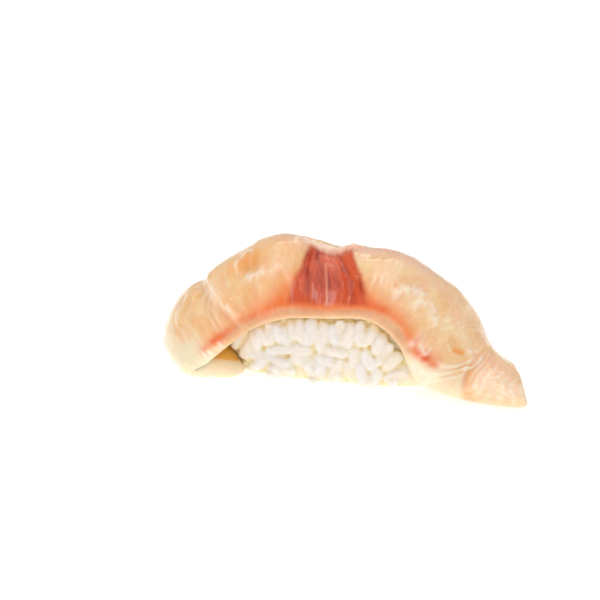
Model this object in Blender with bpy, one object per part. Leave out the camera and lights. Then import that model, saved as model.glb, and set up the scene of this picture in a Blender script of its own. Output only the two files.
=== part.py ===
"""One nigiri: a long slice of pale fish with a dark red blood line, draped over a
hand-pressed block of rice. The slice arches over the block, its left end is tucked in
under the rice and its right end lies flat as a tail.

Metres, +Z up, +X along the slice from the tucked end to the tail, +Y away from the
blood line. The origin is at the middle of the footprint, on the plate.
"""

import math

import bmesh
import bpy
import numpy as np
from mathutils import Matrix, Vector
from mathutils.bvhtree import BVHTree

MM = 0.001
WELD = 0.002 * MM  # points closer than this are made one

# The slice of fish. Two guide curves run along it from the tucked end on the left to
# the tail on the right, both through the middle of its thickness: (x, y, z) in mm.
CREST = (
    (-27.0, 1.0, 1.7),  # tip, tucked in under the rice
    (-35.5, 0.5, 1.7),
    (-41.5, 0.0, 2.6),  # heel that stands on the plate
    (-39.9, 0.0, 9.0),
    (-33.8, 0.5, 15.8),  # left shoulder
    (-24.5, 1.0, 22.8),
    (-12.5, 1.0, 28.2),  # left lobe
    (0.0, 1.0, 27.3),  # pinch above the blood line
    (13.5, 1.0, 26.2),  # right lobe
    (24.8, 0.5, 20.0),
    (31.6, 0.0, 12.6),
    (36.2, -1.0, 6.0),  # knee
    (46.5, -6.5, 1.8),  # tip of the tail
)
FRONT_EDGE = (
    (-17.5, -14.5, 1.6),
    (-25.5, -16.6, 1.6),
    (-31.0, -17.4, 2.2),
    (-28.0, -17.4, 4.8),
    (-22.6, -16.8, 9.8),
    (-17.0, -16.2, 14.2),
    (-9.0, -15.3, 17.2),
    (0.5, -14.8, 18.0),
    (11.0, -14.8, 18.4),
    (18.6, -15.6, 13.4),
    (23.4, -16.8, 5.4),
    (30.2, -16.4, 2.4),
    (50.2, -18.5, 1.7),
)
PINCH_SHARE = 0.525  # where the pinch lies, as a share of the slice's length
LYING_HEIGHT = 1.7 * MM  # middle of the slice where it lies on the plate
BACK_REACH = 14.2 * MM  # from the crest to the back edge
BACK_HEIGHT = 0.62  # height of the back edge as a share of the crest's
BACK_PULL = 0.16  # share of the crest's x that the back edge is drawn in by
PULL_HEIGHT = 20.0 * MM  # height of the crest from which it is drawn in fully
HEEL_START = -34.0  # mm from the pinch, where the slice starts to turn under
TAIL_START = 36.0  # mm from the pinch, where it starts to spread into the tail
ENDS_BLEND = 14.0  # mm over which both changes come in
HEEL_TUCK = 5.0 * MM  # how far the tucked end's back corner is drawn in
ENDS_NARROWING = 0.25  # share of the back edge's reach lost at both ends
THICKNESS = 5.2 * MM
END_THICKNESS = 0.56  # share of the thickness left near both ends
EDGE_THICKNESS = 0.80  # and along both long edges
END_WIDTH = 0.78  # share of the width left at the very ends
END_ROUNDING = 6.0 * MM  # length over which the ends round off in plan
TAIL_SKEW = 3.0 * MM  # how far the tail's back corner stays behind its front corner
LIP = 0.12  # share of each half width that its rounded lip takes
LONG_STEPS = 52  # facets along the slice
FLAT_STEPS = 14  # across each face
LIP_STEPS = 3  # and round each quarter of a lip
HALF_WIDTH = 15.0  # mm, of the slice laid flat, from the crest to either edge
FAN_TOP = 4.7  # mm, half width of the blood line's hollow at the pinch
FAN_FOOT = 13.2  # mm, and at the front edge
FAN_START = -1.0  # mm along the slice, the middle of the hollow at the pinch
FAN_LEAN = 0.38  # how far that middle moves along the slice for each mm to the front
FAN_DEPTH = 1.9  # mm
FAN_MIDDLE = -6.0  # mm across the slice, where the hollow is deepest
FAN_REACH = 9.0  # mm from there to where it runs out
# Bulges and creases of the upper face: rise, place along and across the slice from the
# middle of the pinch, and half length and half width, all in mm.
SWELLS = (
    (1.5, (-15, -3), (8, 9)),  # left lobe
    (1.3, (16, -2), (8, 9)),  # right lobe
    (-0.8, (0, 1), (4, 5)),  # dent of the pinch
    (-1.2, (-34, -1), (2, 12)),  # crease over the left shoulder
    (0.9, (-28.5, -5), (5, 8)),
    (-0.9, (-18.5, -5.5), (3.5, 2.5)),  # hollow in the left lobe
    (1.0, (32, 1), (5, 9)),
    (-0.8, (39.5, -7.5), (3, 2)),  # crevice above the knee
    (1.2, (42, -13), (4.5, 4)),  # fold that droops over the knee
    (-1.3, (48.5, -12), (2, 6)),  # notch before the tail
)
UNDER_SWELLS = (  # the same for the lower face
    (3.0, (39, -16), (5, 6)),  # where the fold droops
    (1.4, (-54, -14), (8, 5)),  # front of the tucked end
)

# The block of rice.
RICE_LENGTH = 52.0 * MM
RICE_WIDTH = 24.0 * MM
RICE_HEIGHT = 25.0 * MM
FOOT_CUT = 3.0 * MM  # taken off the bottom of the block, for a wide flat foot
RICE_CORNER = 0.5  # exponent of the block's rounding: 1 is an ellipsoid, 0 a brick
RICE_MIDDLE = -0.5 * MM  # x of the block's middle
HEART_SHARE = 0.75  # where the rays start that press the block: share of its x
HEART_HEIGHTS = (1.7 * MM, 9.0 * MM)  # and their lowest and highest start
CORE_CLEARANCE = 0.7 * MM  # between the block and the slice
CLEARANCE = 0.45 * MM  # between its grains and the slice
GRAIN_LENGTH = 6.4 * MM
GRAIN_WIDTH = 2.9 * MM
GRAIN_FLATNESS = 0.86  # a grain's thickness as a share of its width
GRAIN_COUNT = 145
GRAIN_PROUD = 0.6 * MM  # how far a grain's middle line stands out of the block
GRAIN_SIDES = 5
GRAIN_FULLNESS = 0.35  # 0 is an ellipsoid, and more fattens the ends
GRAIN_UPRIGHT = 0.4  # how much more the grains stand than lie
GRAIN_LIFT = 0.9 * MM  # the most that the lowest grains stay above the plate
SETTLING_STEPS = 60
SETTLING_PACE = 0.3  # share of each overlap that one step takes away
SEED = 11

FISH_COLOUR = (0.86, 0.55, 0.32, 1)
FISH_ROUGHNESS = 0.3
RICE_COLOUR = (0.90, 0.86, 0.76, 1)
RICE_ROUGHNESS = 0.5


def clear_scene():
    for obj in list(bpy.data.objects):
        bpy.data.objects.remove(obj, do_unlink=True)


def material(name, colour, roughness):
    made = bpy.data.materials.new(name)
    made.use_nodes = True
    shader = made.node_tree.nodes["Principled BSDF"]
    shader.inputs["Base Color"].default_value = colour
    shader.inputs["Roughness"].default_value = roughness
    shader.inputs["Metallic"].default_value = 0.0
    return made


def slice_length():
    points = np.asarray(CREST) * MM
    return np.linalg.norm(np.diff(points, axis=0), axis=1).sum()


def station_shares():
    """Where the guide curves' points lie along the slice, as shares of its length."""
    steps = np.linalg.norm(np.diff(np.asarray(CREST), axis=0), axis=1)
    return np.concatenate([[0.0], np.cumsum(steps)]) / steps.sum()


def along(points, u):
    """Points of the smooth guide curve through the given ones, in metres."""
    points = np.asarray(points, float) * MM
    knots = station_shares()
    slopes = np.gradient(points, knots, axis=0)
    i = np.clip(np.searchsorted(knots, u, side="right") - 1, 0, len(knots) - 2)
    gap = (knots[i + 1] - knots[i])[..., None]
    t = (u - knots[i])[..., None] / gap
    return (
        (1 + 2 * t) * (1 - t) ** 2 * points[i]
        + t * (1 - t) ** 2 * gap * slopes[i]
        + t * t * (3 - 2 * t) * points[i + 1]
        + t * t * (t - 1) * gap * slopes[i + 1]
    )


def end_round(u, length):
    """1 along the slice, falling as a quarter circle to 0 at both ends."""
    inward = np.clip(np.minimum(u, 1 - u) * slice_length() / length, 0, 1)
    return np.sqrt(1 - (1 - inward) ** 2)


def swell(a, b, at, size):
    """A soft round bump over the flat slice, at a point and of a size in millimetres."""
    return np.exp(-(((a - at[0]) / size[0]) ** 2) - ((b - at[1]) / size[1]) ** 2)


def swells(a, b, table):
    return sum(rise * swell(a, b, at, size) for rise, at, size in table)


def flat_place(u, v):
    """Millimetres along and across the flattened slice, from the middle of the pinch."""
    return (u - PINCH_SHARE) * slice_length() / MM, v * HALF_WIDTH


def back_edge(u):
    """The back edge's guide curve: the crest, drawn in, lowered and pushed back."""
    crest = along(CREST, u)
    a, _ = flat_place(u, 0)
    raised = np.clip((crest[..., 2] - LYING_HEIGHT) / PULL_HEIGHT, 0, 1) ** 0.5
    tail = np.clip((a - TAIL_START) / ENDS_BLEND, 0, 1)
    heel = np.clip((HEEL_START - a) / ENDS_BLEND, 0, 1)
    x = crest[..., 0] * (1 - BACK_PULL * raised) + heel * HEEL_TUCK - tail * TAIL_SKEW
    y = crest[..., 1] + BACK_REACH * (1 - ENDS_NARROWING * np.maximum(tail, heel))
    z = LYING_HEIGHT + (crest[..., 2] - LYING_HEIGHT) * BACK_HEIGHT
    return np.stack([x, y, z], axis=-1)


def middle(u, v):
    """The middle of the slice's thickness: u runs along it, v from front to back."""
    crest, front, back = along(CREST, u), along(FRONT_EDGE, u), back_edge(u)
    width = END_WIDTH + (1 - END_WIDTH) * end_round(u, END_ROUNDING)
    across = (v * width)[..., None]
    slope = (back - front) / 2
    droop = (front + back) / 2 - crest
    return crest + slope * across + droop * across**2


def normal(u, v):
    step = 1e-3
    du = middle(np.clip(u + step, 0, 1), v) - middle(np.clip(u - step, 0, 1), v)
    dv = middle(u, np.clip(v + step, -1, 1)) - middle(u, np.clip(v - step, -1, 1))
    across = np.cross(du, dv)
    return across / np.linalg.norm(across, axis=-1, keepdims=True)


def thickness(u, v):
    ends = np.clip(np.abs(2 * u - 1), 0, 1) ** 3
    edges = np.abs(v) ** 2
    share = (1 - (1 - END_THICKNESS) * ends) * (1 - (1 - EDGE_THICKNESS) * edges)
    return THICKNESS * share


def fan_share(a, b):
    """Where a point lies across the blood line's fan: -1 at its left side, 1 at its right."""
    half = FAN_TOP + (FAN_FOOT - FAN_TOP) * np.clip(-b / HALF_WIDTH, 0, 1)
    return (a - FAN_START + FAN_LEAN * np.minimum(b, 0)) / half


def relief(a, b):
    """Height in mm of the upper face over the plain slice: bulges beside a hollow fan."""
    fade = np.clip(1.25 - np.abs(b - FAN_MIDDLE) / FAN_REACH, 0, 1)
    height = -FAN_DEPTH * np.exp(-(fan_share(a, b) ** 4)) * fade
    return height + swells(a, b, SWELLS)


def outline(flat_steps, lip_steps):
    """One turn round the slice's section: v across it, w from -1 below to 1 above."""
    turn = np.linspace(0, math.pi / 2, lip_steps + 1)
    rise_w = np.sin(turn)
    rise_v = 1 - LIP * (1 - np.cos(turn))
    flat_v = np.linspace(-(1 - LIP), 1 - LIP, flat_steps + 1)[1:-1]
    top_v = np.concatenate([-rise_v, flat_v, rise_v[::-1]])
    top_w = np.concatenate([rise_w, np.ones_like(flat_v), rise_w[::-1]])
    return np.concatenate([top_v, top_v[-2:0:-1]]), np.concatenate(
        [top_w, -top_w[-2:0:-1]]
    )


def slice_surface(u, v, w):
    """Points of the slice's skin, pressed flat where it lies on the plate."""
    tip = end_round(u, 0.5 * THICKNESS * END_THICKNESS)
    a, b = flat_place(u, v)
    upper = relief(a, b) * np.maximum(w, 0)
    lower = swells(a, b, UNDER_SWELLS) * np.minimum(w, 0)
    rise = (0.5 * thickness(u, v) * w + MM * (upper + lower)) * tip
    skin = middle(u, v) + normal(u, v) * rise[..., None]
    skin[..., 2] = np.maximum(skin[..., 2], 0)
    return skin


def loft(name, rings):
    """A closed skin through rings of points, whose first and last rings are flat."""
    count, size = rings.shape[:2]
    skin = bmesh.new()
    rows = [[skin.verts.new(p) for p in ring] for ring in rings]
    for low, high in zip(rows, rows[1:]):
        for j in range(size):
            k = (j + 1) % size
            skin.faces.new((low[j], high[j], high[k], low[k]))
    bmesh.ops.remove_doubles(skin, verts=skin.verts, dist=WELD)
    bmesh.ops.dissolve_degenerate(skin, edges=skin.edges, dist=WELD)
    bmesh.ops.recalc_face_normals(skin, faces=skin.faces)
    mesh = bpy.data.meshes.new(name)
    skin.to_mesh(mesh)
    skin.free()
    mesh.shade_smooth()
    return bpy.data.objects.new(name, mesh)


def make_slice(name, long_steps, flat_steps, lip_steps):
    v, w = outline(flat_steps, lip_steps)
    rim = 0.5 * THICKNESS * END_THICKNESS / slice_length()
    turn = np.linspace(0, math.pi / 2, lip_steps + 1)
    start = rim * (1 - np.cos(turn))
    u = np.concatenate([start, np.linspace(rim, 1 - rim, long_steps + 1)[1:-1], 1 - start[::-1]])
    grid_u, grid_v = np.meshgrid(u, v, indexing="ij")
    grid_w = np.broadcast_to(w, grid_u.shape)
    return loft(name, slice_surface(grid_u, grid_v, grid_w))


def tree_of(obj):
    return BVHTree.FromPolygons(
        [v.co.copy() for v in obj.data.vertices],
        [tuple(p.vertices) for p in obj.data.polygons],
    )


def rice_core(name, slice_tree):
    """The pressed block: a rounded brick with a flat foot, kept under the slice."""
    core = bmesh.new()
    bmesh.ops.create_uvsphere(core, u_segments=32, v_segments=16, radius=1.0)
    half = Vector((RICE_LENGTH, RICE_WIDTH, RICE_HEIGHT)) / 2
    for vert in core.verts:
        ball = vert.co.copy()
        brick = [math.copysign(abs(c) ** RICE_CORNER, c) * h for c, h in zip(ball, half)]
        place = Vector(brick) + Vector((RICE_MIDDLE, 0, half.z - FOOT_CUT))
        place.z = max(place.z, 0)
        heart = Vector((place.x * HEART_SHARE, 0, np.clip(place.z, *HEART_HEIGHTS)))
        way = place - heart
        room = slice_tree.ray_cast(heart, way.normalized())[3]
        if room is not None and room < way.length + CORE_CLEARANCE:
            place = heart + way.normalized() * (room - CORE_CLEARANCE)
        vert.co = place
    mesh = bpy.data.meshes.new(name)
    core.to_mesh(mesh)
    core.free()
    return bpy.data.objects.new(name, mesh)


def scattered(core, slice_tree, rng):
    """Random points over the part of the block's skin that the slice leaves bare."""
    points = []
    triangles = core.data.loop_triangles
    area = np.array([t.area for t in triangles])
    while len(points) < GRAIN_COUNT:
        picked = triangles[rng.choice(len(triangles), p=area / area.sum())]
        one, two, three = [core.data.vertices[i].co for i in picked.vertices]
        x, y = rng.random_sample(2)
        point = one.lerp(two, x).lerp(three, y * (1 - 0.5 * x))
        room = (slice_tree.find_nearest(point)[0] - point).length
        if room > GRAIN_WIDTH / 3 and picked.normal.z > -0.5:
            points.append(point)
    return np.array(points)


def across_to(vectors, facing):
    """The vectors turned square to the directions they face, at unit length."""
    flat = vectors - facing * (vectors * facing).sum(axis=1, keepdims=True)
    return flat / np.maximum(np.linalg.norm(flat, axis=1, keepdims=True), 1e-9)


def nearest(tree, points):
    """For each point, the closest place on the tree's skin and the way it faces."""
    found = [tree.find_nearest(Vector(p)) for p in points]
    return np.array([f[0] for f in found]), np.array([f[1] for f in found])


def closest_shares(start, along_1, along_2, half):
    """Where pairs of grains come closest, from -half to half along each of them."""
    dot = np.clip((along_1 * along_2).sum(axis=-1), -0.999, 0.999)
    one = (start * along_1).sum(axis=-1)
    two = (start * along_2).sum(axis=-1)
    s = np.clip((one - dot * two) / (1 - dot**2), -half, half)
    t = np.clip(s * dot - two, -half, half)
    s = np.clip(t * dot + one, -half, half)
    return s, t


def out_of_the_slice(points, along_grain, slice_tree):
    """How far each grain must move, and which way, to keep its distance from the slice."""
    needed = GRAIN_WIDTH * GRAIN_FLATNESS / 2 + CLEARANCE
    move = np.zeros_like(points)
    for share in (-0.4, -0.2, 0, 0.2, 0.4):
        probe = points + along_grain * GRAIN_LENGTH * share
        cover, cover_facing = nearest(slice_tree, probe)
        room = ((probe - cover) * cover_facing).sum(axis=1, keepdims=True)
        away = cover_facing * np.clip(needed - room, 0, GRAIN_WIDTH)
        longer = np.linalg.norm(away, axis=1) > np.linalg.norm(move, axis=1)
        move[longer] = away[longer]
    return move


def settle(points, along_grain, core_tree, slice_tree):
    """Pushes the grains apart until they lie side by side on the block."""
    half = (GRAIN_LENGTH - GRAIN_WIDTH) / 2
    for _ in range(SETTLING_STEPS):
        start = points[None] - points[:, None]
        one = np.broadcast_to(along_grain[:, None], start.shape)
        two = np.broadcast_to(along_grain[None], start.shape)
        s, t = closest_shares(start, one, two, half)
        apart = start + two * t[..., None] - one * s[..., None]
        gap = np.linalg.norm(apart, axis=-1)[..., None]
        push = np.clip(GRAIN_WIDTH - gap, 0, None) * apart / np.maximum(gap, 0.01 * MM)
        turn = (push * s[..., None]).sum(axis=1) / half**2
        points = points - SETTLING_PACE * push.sum(axis=1)
        surface, facing = nearest(core_tree, points)
        cover, _ = nearest(slice_tree, surface)
        room = np.linalg.norm(surface - cover, axis=1, keepdims=True)
        room = room - GRAIN_WIDTH * GRAIN_FLATNESS / 2 - CLEARANCE
        points = surface + facing * np.clip(room, -GRAIN_WIDTH / 2, GRAIN_PROUD)
        along_grain = across_to(along_grain - SETTLING_PACE * turn, facing)
        points = points + out_of_the_slice(points, along_grain, slice_tree)
    return points, along_grain


def grain_mesh():
    """A plump grain of rice lying along X."""
    grain = bmesh.new()
    bmesh.ops.create_uvsphere(grain, u_segments=GRAIN_SIDES, v_segments=4, radius=0.5)
    size = Vector((GRAIN_LENGTH, GRAIN_WIDTH, GRAIN_WIDTH * GRAIN_FLATNESS))
    for vert in grain.verts:
        across, along_axis = vert.co.xy, vert.co.z
        fat = max(2 * across.length, 0.01) ** -GRAIN_FULLNESS
        vert.co = Vector((along_axis, across.y * fat, across.x * fat)) * size
    mesh = bpy.data.meshes.new("grain")
    grain.to_mesh(mesh)
    grain.free()
    return mesh


def place_grains(collection, core, slice_obj):
    """Grains as objects of the collection, left out where they would cross the slice."""
    rng = np.random.RandomState(SEED)
    core.data.calc_loop_triangles()
    core_tree, slice_tree = tree_of(core), tree_of(slice_obj)
    points = scattered(core, slice_tree, rng)
    _, facing = nearest(core_tree, points)
    lying = across_to(rng.normal(size=points.shape) + (0, 0, GRAIN_UPRIGHT), facing)
    points, lying = settle(points, lying, core_tree, slice_tree)
    _, facing = nearest(core_tree, points)
    lying = across_to(lying, facing)
    mesh = grain_mesh()
    crossing = np.linalg.norm(out_of_the_slice(points, lying, slice_tree), axis=1)
    for n in np.flatnonzero(crossing < 0.2 * CLEARANCE):
        way, out = lying[n], facing[n]
        axes = Matrix((way, np.cross(out, way), out)).transposed().to_4x4()
        grain = bpy.data.objects.new(f"grain_{n:03d}", mesh)
        grain.matrix_world = Matrix.Translation(points[n]) @ axes
        lowest = min((grain.matrix_world @ v.co).z for v in mesh.vertices)
        grain.location.z += max(GRAIN_LIFT * rng.random_sample() - lowest, 0)
        collection.objects.link(grain)


def fuse(core, collection):
    """Joins the grains to the block by one union, then removes them."""
    union = core.modifiers.new("grains", "BOOLEAN")
    union.operation = "UNION"
    union.operand_type = "COLLECTION"
    union.collection = collection
    union.solver = "EXACT"
    bpy.context.view_layer.objects.active = core
    bpy.ops.object.modifier_apply(modifier=union.name)
    for grain in list(collection.objects):
        bpy.data.objects.remove(grain, do_unlink=True)


def centre(objects):
    """Moves the meshes so that the middle of the whole footprint is at the origin."""
    places = np.array([v.co for obj in objects for v in obj.data.vertices])
    middle_of_all = (places.min(axis=0) + places.max(axis=0)) / 2
    for obj in objects:
        obj.data.transform(Matrix.Translation((-middle_of_all[0], -middle_of_all[1], 0)))


def main():
    clear_scene()
    nigiri = bpy.data.collections.new("nigiri")
    grains = bpy.data.collections.new("grains")
    bpy.context.scene.collection.children.link(nigiri)
    bpy.context.scene.collection.children.link(grains)
    fish = make_slice("fish_slice", LONG_STEPS, FLAT_STEPS, LIP_STEPS)
    fish.data.materials.append(material("fish", FISH_COLOUR, FISH_ROUGHNESS))
    nigiri.objects.link(fish)
    rice = rice_core("rice", tree_of(fish))
    rice.data.materials.append(material("rice", RICE_COLOUR, RICE_ROUGHNESS))
    nigiri.objects.link(rice)
    place_grains(grains, rice, fish)
    fuse(rice, grains)
    centre([fish, rice])


main()
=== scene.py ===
"""The looks of one nigiri: a wet, slightly see-through slice of pale fish with a dark red
blood line, draped over a pressed block of cooked rice whose grains show at the sides.

The slice is the same surface as the solid's, in fine facets and with its muscle flakes,
folds and fibres. The rice is single grains, settled in two layers over a plain core and
joined in one skin where they stick together.
"""

import math

import bmesh
import bpy
import numpy as np
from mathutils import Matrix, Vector, noise
from mathutils.bvhtree import BVHTree


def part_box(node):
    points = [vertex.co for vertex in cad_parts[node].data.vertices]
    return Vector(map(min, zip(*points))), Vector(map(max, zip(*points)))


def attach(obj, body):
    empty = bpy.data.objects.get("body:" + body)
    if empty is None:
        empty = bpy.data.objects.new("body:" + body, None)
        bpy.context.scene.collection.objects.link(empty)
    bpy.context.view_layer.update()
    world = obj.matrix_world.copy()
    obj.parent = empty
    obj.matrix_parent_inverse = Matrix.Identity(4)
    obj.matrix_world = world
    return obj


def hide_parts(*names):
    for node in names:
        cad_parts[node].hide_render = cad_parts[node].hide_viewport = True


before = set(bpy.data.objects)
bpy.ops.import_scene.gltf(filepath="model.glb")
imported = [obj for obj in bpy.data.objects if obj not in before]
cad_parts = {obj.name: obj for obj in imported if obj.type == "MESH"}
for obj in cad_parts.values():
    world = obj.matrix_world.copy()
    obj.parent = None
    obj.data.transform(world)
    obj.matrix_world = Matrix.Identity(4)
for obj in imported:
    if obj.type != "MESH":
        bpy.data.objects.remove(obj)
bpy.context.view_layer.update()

MM = 0.001
WELD = 0.002 * MM  # points closer than this are made one

# The slice of fish. Two guide curves run along it from the tucked end on the left to
# the tail on the right, both through the middle of its thickness: (x, y, z) in mm.
CREST = (
    (-27.0, 1.0, 1.7),  # tip, tucked in under the rice
    (-35.5, 0.5, 1.7),
    (-41.5, 0.0, 2.6),  # heel that stands on the plate
    (-39.9, 0.0, 9.0),
    (-33.8, 0.5, 15.8),  # left shoulder
    (-24.5, 1.0, 22.8),
    (-12.5, 1.0, 28.2),  # left lobe
    (0.0, 1.0, 27.3),  # pinch above the blood line
    (13.5, 1.0, 26.2),  # right lobe
    (24.8, 0.5, 20.0),
    (31.6, 0.0, 12.6),
    (36.2, -1.0, 6.0),  # knee
    (46.5, -6.5, 1.8),  # tip of the tail
)
FRONT_EDGE = (
    (-17.5, -14.5, 1.6),
    (-25.5, -16.6, 1.6),
    (-31.0, -17.4, 2.2),
    (-28.0, -17.4, 4.8),
    (-22.6, -16.8, 9.8),
    (-17.0, -16.2, 14.2),
    (-9.0, -15.3, 17.2),
    (0.5, -14.8, 18.0),
    (11.0, -14.8, 18.4),
    (18.6, -15.6, 13.4),
    (23.4, -16.8, 5.4),
    (30.2, -16.4, 2.4),
    (50.2, -18.5, 1.7),
)
PINCH_SHARE = 0.525  # where the pinch lies, as a share of the slice's length
LYING_HEIGHT = 1.7 * MM  # middle of the slice where it lies on the plate
BACK_REACH = 14.2 * MM  # from the crest to the back edge
BACK_HEIGHT = 0.62  # height of the back edge as a share of the crest's
BACK_PULL = 0.16  # share of the crest's x that the back edge is drawn in by
PULL_HEIGHT = 20.0 * MM  # height of the crest from which it is drawn in fully
HEEL_START = -34.0  # mm from the pinch, where the slice starts to turn under
TAIL_START = 36.0  # mm from the pinch, where it starts to spread into the tail
ENDS_BLEND = 14.0  # mm over which both changes come in
HEEL_TUCK = 5.0 * MM  # how far the tucked end's back corner is drawn in
ENDS_NARROWING = 0.25  # share of the back edge's reach lost at both ends
THICKNESS = 5.2 * MM
END_THICKNESS = 0.56  # share of the thickness left near both ends
EDGE_THICKNESS = 0.80  # and along both long edges
END_WIDTH = 0.78  # share of the width left at the very ends
END_ROUNDING = 6.0 * MM  # length over which the ends round off in plan
TAIL_SKEW = 3.0 * MM  # how far the tail's back corner stays behind its front corner
LIP = 0.12  # share of each half width that its rounded lip takes
HALF_WIDTH = 15.0  # mm, of the slice laid flat, from the crest to either edge
FAN_TOP = 4.7  # mm, half width of the blood line's hollow at the pinch
FAN_FOOT = 13.2  # mm, and at the front edge
FAN_START = -1.0  # mm along the slice, the middle of the hollow at the pinch
FAN_LEAN = 0.38  # how far that middle moves along the slice for each mm to the front
FAN_DEPTH = 1.9  # mm
FAN_MIDDLE = -6.0  # mm across the slice, where the hollow is deepest
FAN_REACH = 9.0  # mm from there to where it runs out
BLOOD_FAN = (0.25, 0.19, 5.6, 13.8, 1.6)  # its red part: the same, and how late it flares
# Bulges and creases of the upper face: rise, place along and across the slice from the
# middle of the pinch, and half length and half width, all in mm.
SWELLS = (
    (1.5, (-15, -3), (8, 9)),  # left lobe
    (1.3, (16, -2), (8, 9)),  # right lobe
    (-0.8, (0, 1), (4, 5)),  # dent of the pinch
    (-1.2, (-34, -1), (2, 12)),  # crease over the left shoulder
    (0.9, (-28.5, -5), (5, 8)),
    (-0.9, (-18.5, -5.5), (3.5, 2.5)),  # hollow in the left lobe
    (1.0, (32, 1), (5, 9)),
    (-0.8, (39.5, -7.5), (3, 2)),  # crevice above the knee
    (1.2, (42, -13), (4.5, 4)),  # fold that droops over the knee
    (-1.3, (48.5, -12), (2, 6)),  # notch before the tail
)
UNDER_SWELLS = (  # the same for the lower face
    (3.0, (39, -16), (5, 6)),  # where the fold droops
    (2.0, (28, -15), (5, 4)),  # thick lip at the right end of the rice
    (1.4, (-54, -14), (8, 5)),  # front of the tucked end
    (-1.2, (-49.5, -15), (4, 3)),  # groove where it folds back, in front
    (-1.2, (-49.5, 15), (4, 3)),  # and behind
    (4.2, (-60.5, -8.8), (5, 4)),  # flesh that fills the hollow of the fold
)
# Short wrinkles of the upper face that catch the light, given in the same way; their highlights are
# also painted into the flakes' colour.
WRINKLES = (
    (1.0, (-16.5, -8.6), (4.0, 0.8)),
    (0.6, (-12.0, -8.0), (0.8, 1.8)),
    (0.8, (13.0, -9.6), (0.7, 2.4)),
    (0.9, (15.2, -9.0), (0.7, 2.0)),
    (0.8, (22.2, -7.9), (2.5, 0.9)),
    (0.6, (25.5, -9.8), (2.0, 0.7)),
    (0.7, (29.2, -8.1), (1.8, 0.9)),
    (0.8, (36.0, -5.6), (3.5, 0.7)),
    (0.7, (38.5, -4.4), (3.0, 0.6)),
    (0.9, (42.5, -5.6), (1.8, 0.6)),
)
# Pale strokes where a thin edge or a fold catches the light: half width in mm and path.
STROKES = (
    # over the bright spot of the red line
    (0.45, ((30.0, -13.7), (31.7, -12.8), (34.0, -12.6), (35.0, -12.2), (34.7, -11.2))),
    # under and round the hollow in the left lobe
    (0.9, ((-20.0, -7.2), (-18.7, -8.0), (-16.8, -8.5), (-14.7, -8.3))),
    (0.45, ((-17.5, -2.2), (-19.4, -1.8), (-21.2, -2.4), (-22.3, -4.0), (-22.0, -6.0))),
    # creases over the left shoulder
    (0.6, ((-29.7, -6.0), (-29.3, -8.0), (-28.4, -10.4), (-27.0, -12.8))),
    (0.5, ((-32.0, -5.0), (-31.6, -7.0), (-30.7, -9.4))),
    # lip above the tucked end
    (0.6, ((-42.5, -14.3), (-40.0, -14.7), (-36.5, -14.9))),
    # patches on the right lobe
    (1.2, ((19.5, -9.4), (20.8, -8.0), (22.6, -7.2), (25.0, -6.4))),
    (1.0, ((25.4, -8.8), (26.6, -7.4), (28.4, -6.9), (30.7, -7.8))),
    # foot of the fold over the knee
    (1.2, ((34.0, -15.0), (37.0, -14.8), (41.0, -14.2))),
    # below and beyond the crevice
    (0.35, ((36.6, -7.9), (37.6, -8.5), (38.6, -8.9))),
    (0.5, ((41.6, -6.2), (43.9, -4.3))),
    # ridge above the fan
    (0.9, ((-7.5, 0.2), (-1.0, 1.2), (4.5, 2.0))),
)
HATCH = (1.1, ((31.2, -9.4), (35.2, -4.7), (41.2, 1.3)))  # the same, broken up in dashes
CREVICE = (0.5, ((39.5, -7.9), (41.2, -7.1)))  # an orange slit, its colour painted shade
FAN_STREAK = (0.3, ((-0.2, -4.3), (2.3, -12.8)))  # a thin pale line down the blood line
# Stains of the flesh, and painted shade in its hollows: strength, place along and across
# the slice, and half length and half width, all in mm.
AMBER_AND_SHADE_SPOTS = (
    (1.0, (-18.8, -4.8), (4.4, 2.6)),  # hollow in the left lobe, its orange painted shade
    (0.2, (-20, -4), (14, 9)),  # the lobe round it
    (0.15, (-21, -11.5), (7, 3)),
    (0.4, (-29, -11), (3, 2)),
    (0.15, (-37, -5), (6, 8)),  # left end
    (0.7, (34.5, -14.3), (2.5, 1.0)),  # painted shade under the bright spot of the red line
)
PINK_SPOTS = (
    (1.0, (16, 0), (12, 3)),  # top of the right lobe
    (0.8, (24, -6), (2.5, 2)),
    (0.7, (-12, -7), (4, 2)),
    (0.7, (51, -3), (5, 4)),  # back of the tail
    (0.8, (31.5, -13), (1.5, 2.5)),  # beside the bright spot
)
BLUSH = ((6, 0.5), (17, 3.0))  # along the crest above the fan
PALE_LINE = ((27, -13), (5.5, 9))  # where the red line fades, right of the fan
LONG_STEPS = 400  # facets along the slice
TOP_STEPS = 110  # across its upper face
UNDER_STEPS = 44  # across its lower face
LIP_STEPS = 9  # and round each quarter of a lip

# The rice: a core, and grains in two layers, the inner one seen through the outer.
RICE_LENGTH = 52.0 * MM
RICE_WIDTH = 24.0 * MM
RICE_HEIGHT = 25.0 * MM
FOOT_CUT = 3.0 * MM  # taken off the bottom of the block, for a wide flat foot
RICE_CORNER = 0.5  # exponent of the block's rounding: 1 is an ellipsoid, 0 a brick
RICE_MIDDLE = -0.5 * MM  # x of the block's middle
HEART_SHARE = 0.75  # where the rays start that press the block: share of its x
HEART_HEIGHTS = (1.7 * MM, 9.0 * MM)  # and their lowest and highest start
CORE_CLEARANCE = 0.7 * MM  # between the block and the slice
FOOT_LIFT = 0.3 * MM  # how far the core stays above the plate
FILLER_SUNK = 1.2 * MM  # depth in the core of the filler that is joined with the grains
GRAIN_LENGTH = 6.8 * MM
GRAIN_WIDTH = 3.5 * MM
GRAIN_FLATNESS = 0.86  # a grain's thickness as a share of its width
GRAIN_SIZES = (0.86, 1.10)  # smallest and largest grain, as shares of the usual
GRAIN_FULLNESS = 0.32  # 0 is an ellipsoid, and more fattens the ends
GRAIN_TAPER = 0.10  # usual change of a grain's width from its middle to its end
GRAIN_BENDS = (0.07, 0.10)  # usual bend sideways and up, as shares of the width
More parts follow.
